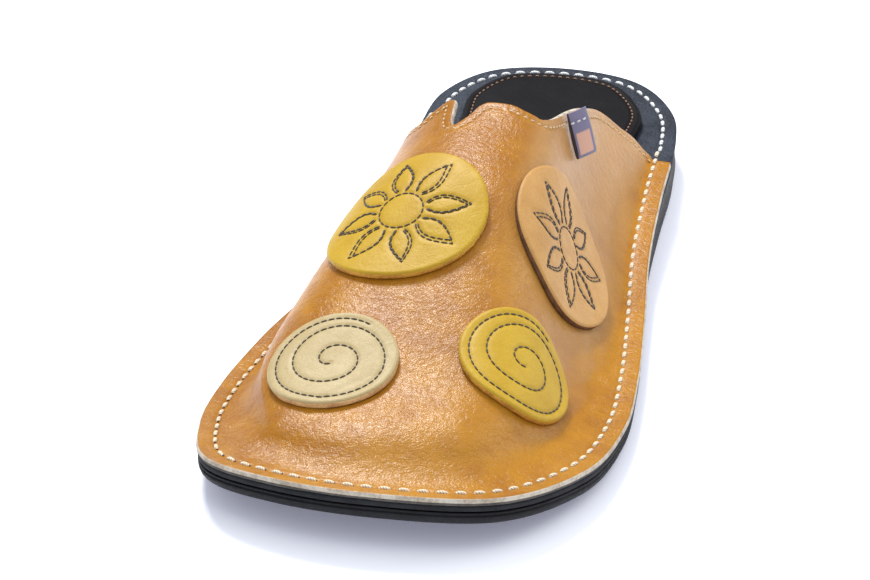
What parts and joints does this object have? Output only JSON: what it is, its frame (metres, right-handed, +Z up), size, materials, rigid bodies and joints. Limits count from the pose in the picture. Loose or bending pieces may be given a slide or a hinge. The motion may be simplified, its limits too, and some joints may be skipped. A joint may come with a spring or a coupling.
{
  "type": "slipper",
  "caption": "Backless leather slipper for the left foot: wide vamp sewn flat round a wedge sole, scalloped notched collar, round leather discs and a side label.",
  "frame": {"origin": "on the floor, under the middle of the sole's rim in length and width", "axes": "+Z up, toe toward -Y, heel toward +Y, big toe side toward -X"},
  "size_m": [0.103, 0.2577, 0.0563],
  "materials": {
    "black_rubber": "matt black rubber, slightly rough",
    "navy_leather": "grained dark navy leather, satin",
    "black_leather": "smooth black lining leather, soft satin",
    "tan_leather": "milled tan leather with fine grain, medium gloss",
    "yellow_leather": "smooth yellow leather, medium gloss",
    "light_brown_leather": "smooth light brown leather, medium gloss",
    "cream_leather": "smooth cream leather, medium gloss",
    "woven_label": "tightly woven label, matt"
  },
  "bodies": {
    "root": {"outsole": "black_rubber", "midsole": "navy_leather", "insole": "black_leather", "upper": "tan_leather", "flower_disc_inner": "yellow_leather", "flower_disc_outer": "light_brown_leather", "spiral_disc_inner": "cream_leather", "spiral_disc_outer": "yellow_leather", "label": "woven_label"}
  },
  "joints": []
}
